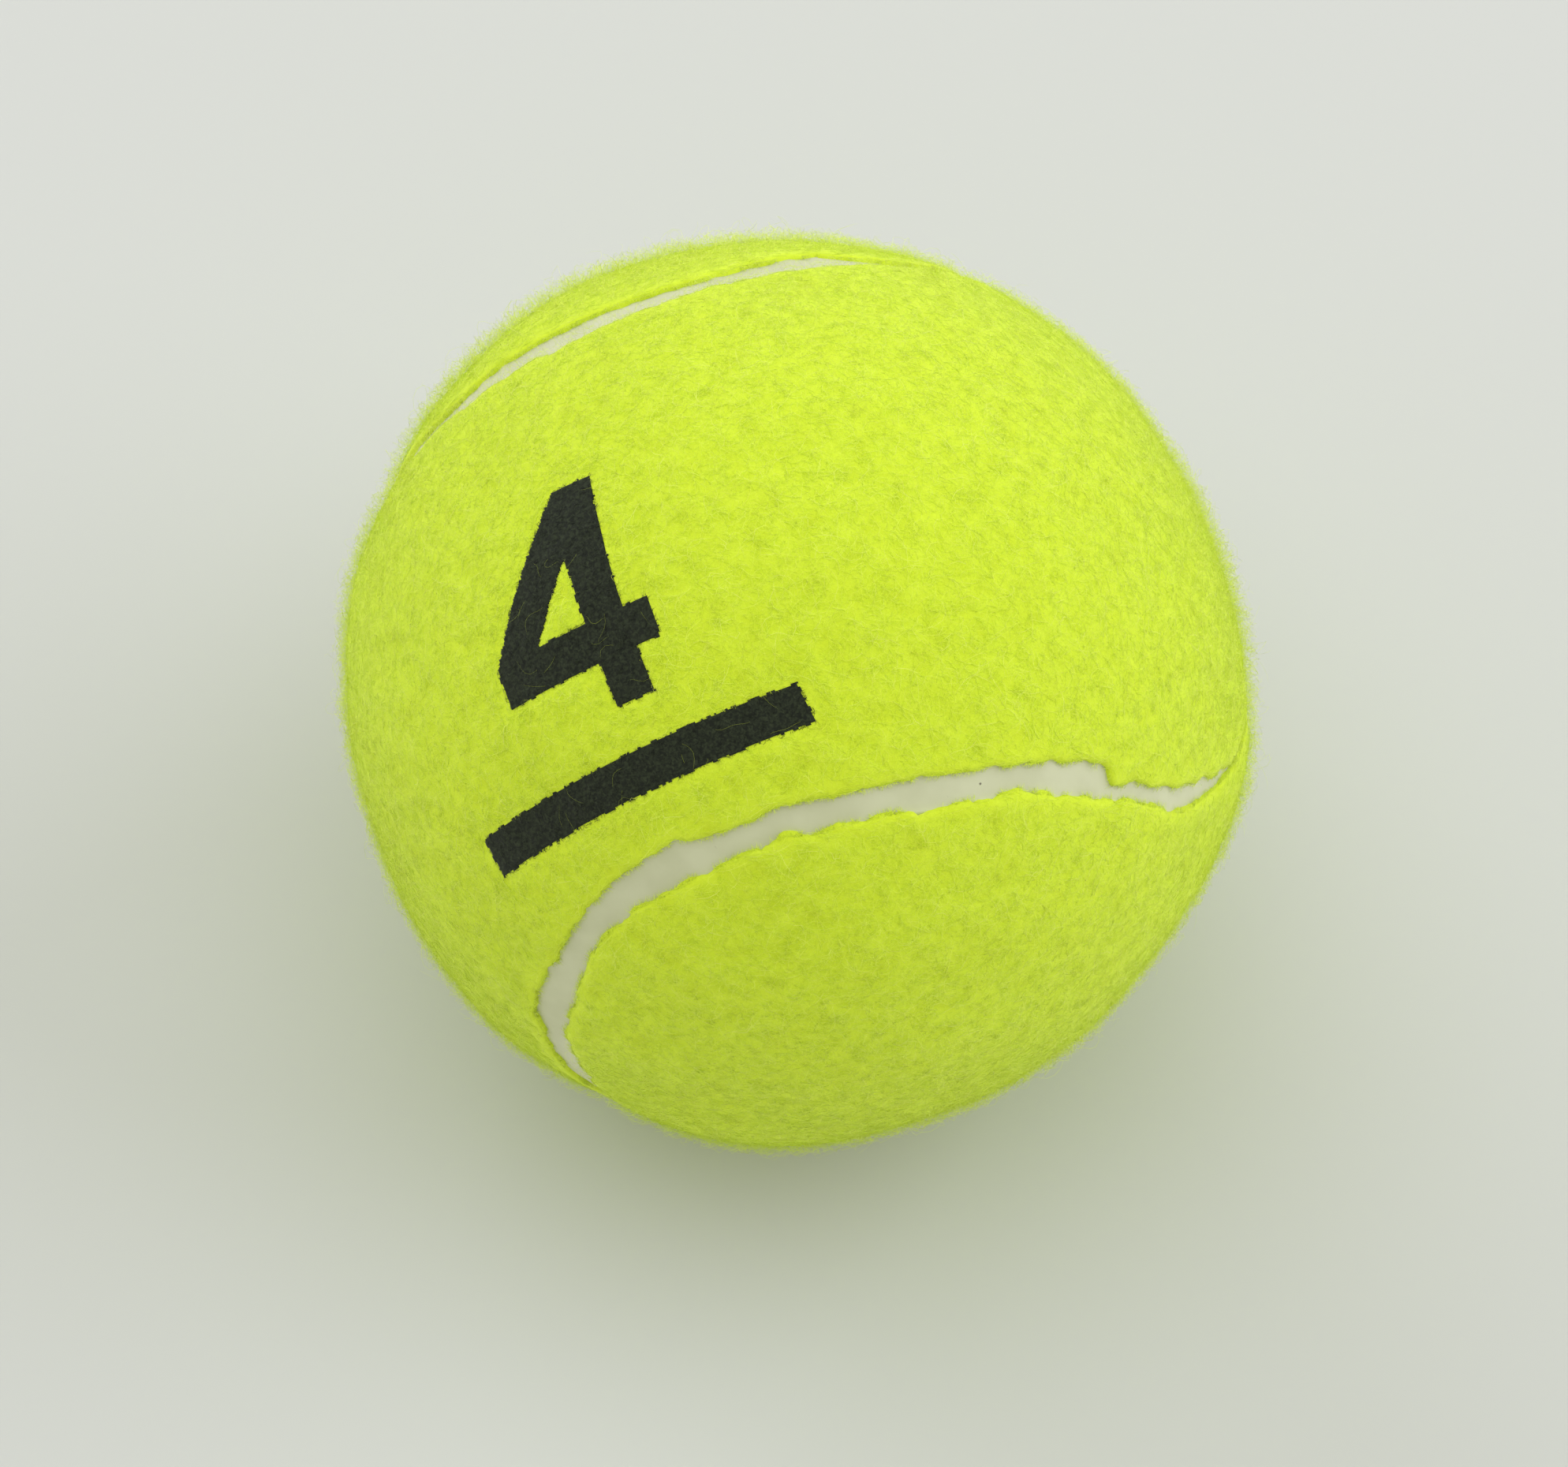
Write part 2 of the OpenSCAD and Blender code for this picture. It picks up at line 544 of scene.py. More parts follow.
@dataclass
class Shape:
    """A mesh in the making: its points in millimetres, faces and values for each point."""

    points: Array
    faces: list[Array]
    values: dict[str, Array] = field(default_factory=dict)

    @staticmethod
    def joined(shapes: list["Shape"]) -> "Shape":
        """Puts shapes that hold the same values together as one."""
        firsts = np.cumsum([0] + [len(shape.points) for shape in shapes[:-1]])
        faces = [
            face + first for shape, first in zip(shapes, firsts, strict=True) for face in shape.faces
        ]
        keys = shapes[0].values
        values = {key: np.concatenate([shape.values[key] for shape in shapes]) for key in keys}
        return Shape(np.concatenate([shape.points for shape in shapes]), faces, values)

    def to_piece(self, name: str, ball: Ball, smooth: bool = True) -> bpy.types.Object:
        """Makes the Blender object, in metres and as the ball lies.

        Args:
            name: The piece's name.
            ball: The ball that it belongs to.
            smooth: Whether its faces are shaded smooth.

        Returns:
            The new object, in the scene.
        """
        mesh = bpy.data.meshes.new(name)
        places = ball.as_it_lies(self.points) * MM
        sizes = np.concatenate([np.full(len(f), f.shape[1]) for f in self.faces])
        corners = np.concatenate([f.ravel() for f in self.faces])
        mesh.vertices.add(len(places))
        mesh.vertices.foreach_set("co", places.astype(np.float32).ravel())
        mesh.loops.add(len(corners))
        mesh.loops.foreach_set("vertex_index", corners.astype(np.int32))
        mesh.polygons.add(len(sizes))
        starts = np.concatenate([[0], np.cumsum(sizes)[:-1]])
        mesh.polygons.foreach_set("loop_start", starts.astype(np.int32))
        mesh.update(calc_edges=True)
        mesh.polygons.foreach_set("use_smooth", np.full(len(sizes), smooth))
        for key, value in self.values.items():
            layer = mesh.attributes.new(key, "FLOAT", "POINT")
            layer.data.foreach_set("value", value.astype(np.float32))
        piece = bpy.data.objects.new(name, mesh)
        bpy.context.scene.collection.objects.link(piece)
        return piece


class Recipe:
    """Builds one node material, with sizes in millimetres."""

    def __init__(self, name: str) -> None:
        """Starts a material with a Principled shader.

        Args:
            name: The material's name.
        """
        self.material = bpy.data.materials.new(name)
        self.material.use_nodes = True
        self.tree = self.material.node_tree
        self.shader = self.tree.nodes["Principled BSDF"]
        self.places = self.tree.nodes.new("ShaderNodeTexCoord").outputs["Object"]

    def set(self, **values: float | Colour) -> None:
        """Sets inputs of the shader itself, by their names with underscores for spaces."""
        for name, value in values.items():
            socket = self.shader.inputs[name.replace("_", " ")]
            socket.default_value = (*value, 1.0) if isinstance(value, tuple) else value

    def give(self, name: str, value: Socket) -> None:
        """Links a value to one of the shader's inputs."""
        self.tree.links.new(value, self.shader.inputs[name])

    def noise(self, size: float, detail: float = 2.0, distortion: float = 0.0) -> Socket:
        """Adds a noise pattern.

        Args:
            size: The size of its spots in millimetres.
            detail: How many finer layers it has.
            distortion: How far its spots are drawn out of shape.

        Returns:
            Its value, about 0.5.
        """
        node = self.tree.nodes.new("ShaderNodeTexNoise")
        self.tree.links.new(self.places, node.inputs["Vector"])
        node.inputs["Scale"].default_value = 1 / (size * MM)
        node.inputs["Detail"].default_value = detail
        node.inputs["Distortion"].default_value = distortion
        return node.outputs["Fac"]

    def value_of(self, attribute: str) -> Socket:
        """Reads a value that the mesh holds for each point."""
        node = self.tree.nodes.new("ShaderNodeAttribute")
        node.attribute_name = attribute
        return node.outputs["Fac"]

    def ramp(self, value: Socket, stops: tuple[tuple[float, Colour], ...]) -> Socket:
        """Turns a value into a colour.

        Args:
            value: The value to read.
            stops: Values and their colours, in rising order.

        Returns:
            The colour.
        """
        node = self.tree.nodes.new("ShaderNodeValToRGB")
        self.tree.links.new(value, node.inputs["Fac"])
        elements = node.color_ramp.elements
        while len(elements) < len(stops):
            elements.new(1.0)
        for element, (position, colour) in zip(elements, stops, strict=True):
            element.position = position
            element.color = (*colour, 1.0)
        return node.outputs["Color"]

    def range(self, value: Socket, low: float, high: float) -> Socket:
        """Stretches the values from low to high over 0 to 1."""
        node = self.tree.nodes.new("ShaderNodeMapRange")
        self.tree.links.new(value, node.inputs["Value"])
        node.inputs["From Min"].default_value = low
        node.inputs["From Max"].default_value = high
        return node.outputs["Result"]

    def maths(self, operation: str, first: Socket, second: Socket | float) -> Socket:
        """Joins two values by a Math node's operation."""
        node = self.tree.nodes.new("ShaderNodeMath")
        node.operation = operation
        self.tree.links.new(first, node.inputs[0])
        if isinstance(second, float):
            node.inputs[1].default_value = second
        else:
            self.tree.links.new(second, node.inputs[1])
        return node.outputs["Value"]

    def mix(self, share: Socket, first: Socket, second: Socket | Colour) -> Socket:
        """Mixes a second colour, which may be one plain colour, into the first by a share."""
        node = self.tree.nodes.new("ShaderNodeMix")
        node.data_type = "RGBA"
        self.tree.links.new(share, node.inputs["Factor"])
        self.tree.links.new(first, node.inputs[6])
        if isinstance(second, tuple):
            node.inputs[7].default_value = (*second, 1.0)
        else:
            self.tree.links.new(second, node.inputs[7])
        return node.outputs[2]

    def calm_normals(self, share: float) -> None:
        """Leans the shading's normals towards straight out from the ball's centre.

        Args:
            share: How far they lean, from 0 for not at all to 1 for all the way.
        """
        nodes, links = self.tree.nodes, self.tree.links
        outwards = nodes.new("ShaderNodeVectorTransform")
        outwards.vector_type = "NORMAL"
        outwards.convert_from, outwards.convert_to = "OBJECT", "WORLD"
        links.new(self.places, outwards.inputs["Vector"])
        blend = nodes.new("ShaderNodeMix")
        blend.data_type = "VECTOR"
        blend.inputs["Factor"].default_value = share
        links.new(nodes.new("ShaderNodeNewGeometry").outputs["Normal"], blend.inputs[4])
        links.new(outwards.outputs["Vector"], blend.inputs[5])
        whole = nodes.new("ShaderNodeVectorMath")
        whole.operation = "NORMALIZE"
        links.new(blend.outputs[1], whole.inputs[0])
        self.give("Normal", whole.outputs["Vector"])

    def bump(self, value: Socket, height: float, strength: float = 1.0) -> None:
        """Adds a bump of the given height in millimetres."""
        node = self.tree.nodes.new("ShaderNodeBump")
        node.inputs["Strength"].default_value = strength
        node.inputs["Distance"].default_value = height * MM
        self.tree.links.new(value, node.inputs["Height"])
        self.give("Normal", node.outputs["Normal"])


@dataclass(frozen=True)
class ClothFinish:
    """The felt beneath the loose fibres: matted and randomly mottled, with painted shade in its low places
    and a painted highlight on its crests.
    """

    # pit is the colour of low levels, partly random mottling and partly painted shade; lit_crest is the
    # colour of high levels, partly a painted highlight.
    pit: Colour = (0.60, 0.73, 0.020)
    body: Colour = (0.67, 0.83, 0.030)
    lit_crest: Colour = (0.70, 0.87, 0.040)
    fine: Noise = (0.28, 3.0, 0.6)
    fine_share: float = 0.5
    tooth: Noise = (0.16, 4.0, 1.2)

    def material(self) -> bpy.types.Material:
        """Makes the node material."""
        recipe = Recipe("felt_cloth")
        recipe.set(Roughness=0.95, Specular_IOR_Level=0.15, Sheen_Weight=0.2, Sheen_Roughness=0.6)
        recipe.set(Sheen_Tint=(0.90, 1.0, 0.55))
        fine = recipe.maths("MULTIPLY", recipe.noise(*self.fine), self.fine_share)
        # The pile value carries painted shade and light: it is lower in the nap's hollows, towards the cut
        # edge, on the edge's wall and on the underside, and higher on crests.
        level = recipe.maths("ADD", recipe.value_of("pile"), fine)
        stops = ((0.30, self.pit), (0.62, self.body), (1.0, self.lit_crest))
        recipe.give("Base Color", recipe.ramp(level, stops))
        recipe.bump(recipe.noise(*self.tooth), 0.06, 0.8)
        return recipe.material


@dataclass(frozen=True)
class NapFinish:
    """The loose fibres of the nap, coloured by their tone: deep where painted shade lowers it near the
    root, pale where painted light raises it higher up.
    """

    # root is the deep colour of low tones, which the painted shade near the cloth reaches towards; pale is
    # the colour of high tones, which the painted light on high tips reaches towards.
    root: Colour = (0.72, 0.88, 0.035)
    body: Colour = (0.79, 0.95, 0.050)
    bright: Colour = (0.82, 0.97, 0.090)
    pale: Colour = (0.90, 0.98, 0.21)
    ink: Colour = (0.016, 0.020, 0.012)
    warm: Colour = (0.80, 0.90, 0.045)
    pit: Colour = (0.68, 0.76, 0.030)
    calm: float = 0.2
    warm_patches: Noise = (2.4, 3.0)
    warm_range: tuple[float, float] = (0.50, 0.85)
    pits: Noise = (0.5, 2.0)
    pit_range: tuple[float, float] = (0.62, 0.82)

    def material(self) -> bpy.types.Material:
        """Makes the node material."""
        recipe = Recipe("felt_nap")
        recipe.set(Roughness=0.75, Specular_IOR_Level=0.25, Sheen_Weight=0.5, Sheen_Roughness=0.45)
        recipe.set(Sheen_Tint=(0.92, 1.0, 0.65))
        stops = ((0.0, self.root), (0.45, self.body), (0.8, self.bright), (1.0, self.pale))
        tone = recipe.value_of("tone")
        dyed = recipe.ramp(tone, stops)
        warm = recipe.ramp(tone, ((0.0, self.root), (0.5, self.warm)))
        patches = recipe.range(recipe.noise(*self.warm_patches), *self.warm_range)
        dyed = recipe.mix(patches, dyed, warm)
        pits = recipe.range(recipe.noise(*self.pits), *self.pit_range)
        dyed = recipe.mix(pits, dyed, self.pit)
        recipe.calm_normals(self.calm)
        recipe.give("Base Color", recipe.mix(recipe.value_of("ink"), dyed, self.ink))
        return recipe.material


@dataclass(frozen=True)
class InkFinish:
    """Black ink that has soaked into the nap, greyer where fibres stand clear of it."""

    ink: Colour = (0.010, 0.013, 0.007)
    worn: Colour = (0.040, 0.052, 0.024)
    wear: Noise = (0.24, 4.0, 0.8)

    def material(self) -> bpy.types.Material:
        """Makes the node material."""
        recipe = Recipe("print_ink")
        recipe.set(Roughness=0.85, Specular_IOR_Level=0.2, Sheen_Weight=0.1, Sheen_Roughness=0.5)
        stops = ((0.40, self.ink), (0.80, self.worn))
        recipe.give("Base Color", recipe.ramp(recipe.noise(*self.wear), stops))
        return recipe.material


@dataclass(frozen=True)
class SeamFinish:
    """The pale rubber of the seam: smooth, with faint cloudy stains and a few dark specks."""

    rubber: Colour = (0.62, 0.63, 0.42)
    stain: Colour = (0.57, 0.58, 0.375)
    speck: Colour = (0.16, 0.15, 0.10)
    clouds: Noise = (3.0, 4.0)
    specks: Noise = (0.55, 0.0)
    speck_range: tuple[float, float] = (0.86, 0.89)
    roughness: tuple[float, float] = (0.45, 0.7)
    rough_spots: Noise = (1.2, 3.0)
    tooth: Noise = (0.45, 3.0)

    def material(self) -> bpy.types.Material:
        """Makes the node material."""
        recipe = Recipe("seam_rubber_face")
        recipe.set(Specular_IOR_Level=0.35)
        clouds = recipe.ramp(recipe.noise(*self.clouds), ((0.35, self.stain), (0.62, self.rubber)))
        specks = recipe.range(recipe.noise(*self.specks), *self.speck_range)
        recipe.give("Base Color", recipe.mix(specks, clouds, self.speck))
        smooth, dull = self.roughness
        greys = ((0.0, (smooth, smooth, smooth)), (1.0, (dull, dull, dull)))
        recipe.give("Roughness", recipe.ramp(recipe.noise(*self.rough_spots), greys))
        recipe.bump(recipe.noise(*self.tooth), 0.01, 0.4)
        return recipe.material


@dataclass(frozen=True)
class CoreFinish:
    """Moulded rubber or cement: one colour, mottled, with a fine tooth."""

    name: str
    pale: Colour
    deep: Colour
    spot: float
    roughness: float

    def material(self) -> bpy.types.Material:
        """Makes the node material."""
        recipe = Recipe(self.name)
        recipe.set(Roughness=self.roughness)
        stops = ((0.35, self.deep), (0.65, self.pale))
        recipe.give("Base Color", recipe.ramp(recipe.noise(self.spot, 4.0), stops))
        recipe.bump(recipe.noise(self.spot / 5, 3.0), 0.03, 0.5)
        return recipe.material


def geodesic(frequency: int) -> tuple[Array, Array]:
    """Divides each face of an icosahedron and lays the points on a ball of radius 1.

    Args:
        frequency: Into how many parts each edge is divided.

    Returns:
        The points, and the triangles by their points' numbers.
    """
    solid = bmesh.new()
    bmesh.ops.create_icosphere(solid, subdivisions=1, radius=1.0)
    corners = np.array([[vertex.co[:] for vertex in face.verts] for face in solid.faces])
    solid.free()
    rows, columns = np.mgrid[0 : frequency + 1, 0 : frequency + 1]
    held = rows + columns <= frequency
    number = np.full(held.shape, -1)
    number[held] = np.arange(held.sum())
    weights = np.stack([frequency - rows - columns, rows, columns], axis=-1)[held] / frequency
    up = held[:-1, :-1] & (rows + columns < frequency)[:-1, :-1]
    down = (rows + columns < frequency - 1)[:-1, :-1]
    upright = np.stack([number[:-1, :-1], number[1:, :-1], number[:-1, 1:]], axis=-1)[up]
    inverted = np.stack([number[1:, :-1], number[1:, 1:], number[:-1, 1:]], axis=-1)[down]
    triangles = np.concatenate([upright, inverted])
    points = np.einsum("wk,fkx->fwx", weights, corners)
    first = np.arange(len(corners)) * len(weights)
    faces = (triangles[None] + first[:, None, None]).reshape(-1, 3)
    flat = np.round(points.reshape(-1, 3), 6) + 0.0
    merged, place = np.unique(flat, axis=0, return_inverse=True)
    return unit(merged), place.reshape(-1)[faces]


def rim_of(faces: Array) -> Array:
    """Finds the edges that only one face uses.

    Args:
        faces: Triangles or quads by their points' numbers.

    Returns:
        The two ends of each such edge, in its face's order.
    """
    edges = np.stack([faces, np.roll(faces, -1, axis=1)], axis=-1).reshape(-1, 2)
    ordered = np.sort(edges, axis=1)
    _, place, uses = np.unique(ordered, axis=0, return_inverse=True, return_counts=True)
    return edges[uses[place.reshape(-1)] == 1]


def wall(rim: Array, upper: Array, lower: Array) -> Array:
    """Joins two rows of points along a rim by quads.

    Args:
        rim: The two ends of each of the rim's edges.
        upper: For each point that the rim names, its number in the upper row.
        lower: The same for the lower row.

    Returns:
        The quads.
    """
    start, end = rim[:, 0], rim[:, 1]
    return np.column_stack([upper[start], lower[start], lower[end], upper[end]])


@dataclass
class ClothPanel:
    """One dumbbell of felt cloth: its surface, its cut edge and its underside."""

    ball: Ball
    relief: Relief
    panel: Panel
    frequency: int = 100
    wall_shares: tuple[float, ...] = (0.25, 0.6)
    longest_share: float = 1.2
    # Colour levels for the cloth: the face is lighter where its nap is thicker and darker towards the cut
    # edge, a painted shade and light; the wall and the underside take lower levels, a painted shade.
    face_level: float = 0.5
    shade_swing: float = 0.1
    wall_shade_level: float = 0.35
    under_shade_level: float = 0.3
    flat_cut: tuple[float, float] = (0.051, 0.153)
    flat_area: float = 0.0058

    def surface(self) -> tuple[Array, Array, Array]:
        """Cuts the panel out of a ball of small triangles, which are drawn to its edge.

        Returns:
            The directions of the points, the panel's triangles, and how far inside the panel's
            edge each point lies, in millimetres.
        """
        directions, faces = geodesic(self.frequency)
        edge = self.longest_share * math.radians(ICOSAHEDRON_EDGE)
        longest = edge / self.frequency * self.ball.face
        inside, inwards = self.ball.seam.inside(directions, self.panel)
        near = np.abs(inside) < longest / 2
        moved = directions[near] - inwards[near] * (inside[near] / self.ball.face)[:, None]
        directions[near] = unit(moved)
        inside[near] = 0
        held = (inside >= 0)[faces].all(axis=1) & (inside > 0)[faces].any(axis=1)
        faces = faces[held]
        used, place = np.unique(faces, return_inverse=True)
        return directions[used], place.reshape(-1, 3), inside[used]

    def build(self) -> bpy.types.Object:
        """Builds the cloth with its cut edge and underside.

        Returns:
            The piece.
        """
        directions, faces, inside = self.surface()
        rim = rim_of(faces)
        loop = np.unique(rim)
        pile = self.relief.pile(directions)
        top = self.relief.ground(directions, pile, inside)
        share = np.clip(1 - inside / self.relief.round_over, 0, 1)
        layers = [directions * top[:, None]]
        # Painted shade and light: the face's colour level rises with the nap's thickness and falls towards
        # the cut edge.
        piles = [self.face_level + self.shade_swing * pile - self.shade_swing * share]
        upper, walls = np.arange(len(top)), []
        for step in self.wall_shares:
            lower = np.zeros(len(top), int)
            lower[loop] = sum(len(layer) for layer in layers) + np.arange(len(loop))
            radius = top[loop] + step * (self.ball.film - top[loop])
            layers.append(directions[loop] * radius[:, None])
            # Painted shade on the cut edge's wall.
            piles.append(np.full(len(loop), self.wall_shade_level))
            walls.append(wall(rim, upper, lower))
            upper = lower
        lower = sum(len(layer) for layer in layers) + np.arange(len(top))
        layers.append(directions * self.ball.film)
        # Painted shade on the underside.
        piles.append(np.full(len(top), self.under_shade_level))
        walls.append(wall(rim, upper, lower))
        under = lower[faces][:, ::-1]
        shape = Shape(np.concatenate(layers), [faces, *walls, under], {"pile": np.concatenate(piles)})
        piece = shape.to_piece(f"cloth_{self.panel.value}", self.ball)
        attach(piece, BODY)
        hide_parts(f"felt_panel_{self.panel.value}")
        return piece


@dataclass(frozen=True)
class Fibre:
    """One kind of fibre: how it lies, in millimetres and degrees."""

    length: tuple[float, float]
    thickness: tuple[float, float]
    rise: tuple[float, float]
    free_share: float
    bend: float
    spread: float
    rings: int = 3
    sunk: float = 0.08
    late: float = 1.2
    paler: float = 0.0
    rise_by_pile: float = 0.15
    least_run_squared: float = 0.04
    arch_power: float = 0.7
    body_power: float = 0.3
    body_ends: tuple[float, float] = (0.15, 0.85)
    taper: float = 0.65
    tone: float = 0.45
    tone_by_pile: float = 0.04
    tone_spread: float = 0.05
    # shade_by_height paints shade and light by height: fibres come out darker near the cloth and paler
    # towards their high tips.
    shade_by_height: float = 0.26
    tall: float = 0.6
    lowest_share: float = -0.3


@dataclass
class Roots:
    """Where fibres start, the way they set out, and the cloth there."""

    ways: Array
    headings: Array
    ground: Array
    pile: Array
    calm: Array
    loft: Array

    def only(self, kept: Array) -> "Roots":
        """Keeps some of the roots, by a mask or by their numbers."""
        parts = (self.ways, self.headings, self.ground, self.pile, self.calm, self.loft)
        return Roots(*(part[kept] for part in parts))


@dataclass
class Strands:
    """Fibres as lines of points from their roots, each with its radius, tone and ink."""

    points: Array
    radius: Array
    tone: Array
    ink: Array

    @staticmethod
    def grown(ball: Ball, roots: Roots, fibre: Fibre, seed: int) -> "Strands":
        """Lays each fibre's line from its root.

        Args:
            ball: The ball.
            roots: The fibres' roots.
            fibre: The kind of fibre.
            seed: The seed of the draw.

        Returns:
            The fibres, without ink.
        """
        rng = np.random.default_rng(seed)
        count, knots = len(roots.ways), fibre.rings + 2
        share = np.linspace(0, 1, knots)[None]
        length = rng.uniform(*fibre.length, (count, 1))
        rise = rng.uniform(*fibre.rise, (count, 1))
        rise = rise * (1 + fibre.rise_by_pile * roots.pile + roots.loft)[:, None]
        free = rng.random((count, 1)) < fibre.free_share
        loose = 1 - roots.calm[:, None]
        heading = np.radians(rng.normal(0, fibre.spread, (count, 1))) * loose
        bend = np.radians(rng.uniform(-fibre.bend, fibre.bend, (count, 1))) * loose
        curl = np.radians(rng.uniform(-0.5, 0.5, (count, 1)) * fibre.bend) * loose
        angle = heading + bend * (share - 0.5) + curl * np.sin(2 * np.pi * share)
        step = np.sqrt(np.maximum(length**2 - rise**2, fibre.least_run_squared)) / (knots - 1)
        still = np.zeros((count, 1))
        ahead = np.hstack([still, np.cumsum(np.cos(angle[:, :-1]) * step, axis=1)])
        aside = np.hstack([still, np.cumsum(np.sin(angle[:, :-1]) * step, axis=1)])
        arch = np.sin(np.pi * share) ** fibre.arch_power
        whip = np.sin(0.5 * np.pi * share) ** fibre.late
        height = np.where(free, whip, arch) * (rise + fibre.sunk) - fibre.sunk
        across = np.cross(roots.ways, roots.headings)
        flat = roots.headings[:, None] * ahead[..., None] + across[:, None] * aside[..., None]
        ways = unit(roots.ways[:, None] + flat / ball.face)
        points = ways * (roots.ground[:, None] + height)[..., None]
        body = np.sin(np.pi * np.clip(share, *fibre.body_ends)) ** fibre.body_power
        tapered = np.where(free, 1 - fibre.taper * share**2, body)
        radius = rng.uniform(*fibre.thickness, (count, 1)) / 2 * tapered
        tone = fibre.tone + fibre.tone_by_pile * roots.pile[:, None] + fibre.paler
        tone = tone + rng.normal(0, fibre.tone_spread, (count, 1))
        # Painted shade and light: the tone falls near the cloth and rises with height above it, up to the
        # height tall.
        tone = tone + fibre.shade_by_height * np.clip(height / fibre.tall, fibre.lowest_share, 1)
        return Strands(points, radius, tone, np.zeros_like(tone))

    def only(self, kept: Array) -> "Strands":
        """Keeps some of the fibres, by a mask or by their numbers."""
        return Strands(self.points[kept], self.radius[kept], self.tone[kept], self.ink[kept])

    def shape(self) -> Shape:
        """Makes closed tubes of three sides with one side up, pointed at both ends.

        Returns:
            The mesh, with each point's tone and ink.
        """
        count, knots = self.radius.shape
        along = unit(np.gradient(self.points, axis=1))
        side = unit(np.cross(along, unit(self.points)))
        over = np.cross(side, along)
        corners = np.radians(-90 + 120 * np.arange(3))[:, None]
        spokes = np.cos(corners) * side[:, 1:-1, None] + np.sin(corners) * over[:, 1:-1, None]
        ring = self.points[:, 1:-1, None] + self.radius[:, 1:-1, None, None] * spokes
        ring = ring.reshape(count, 3 * (knots - 2), 3)
        solid = np.concatenate([self.points[:, :1], ring, self.points[:, -1:]], axis=1)
        size = solid.shape[1]
        rings = knots - 2
        turned = np.array([1, 2, 0])
        first = [(0, 1 + turned[i], 1 + i) for i in range(3)]
        base = 1 + 3 * (rings - 1)
        last = [(size - 1, base + i, base + turned[i]) for i in range(3)]
        sides = [
            (1 + 3 * k + i, 1 + 3 * k + turned[i], 4 + 3 * k + turned[i], 4 + 3 * k + i)
            for k in range(rings - 1)
            for i in range(3)
        ]
        starts = (np.arange(count) * size)[:, None, None]
        tips = (np.array(first + last)[None] + starts).reshape(-1, 3)
        walls = (np.array(sides)[None] + starts).reshape(-1, 4)
        values = {"tone": self.tone, "ink": self.ink}
        ringed = {
            key: np.concatenate([v[:, :1], np.repeat(v[:, 1:-1], 3, axis=1), v[:, -1:]], axis=1).ravel()
            for key, v in values.items()
        }
        return Shape(solid.reshape(-1, 3), [tips, walls], ringed)


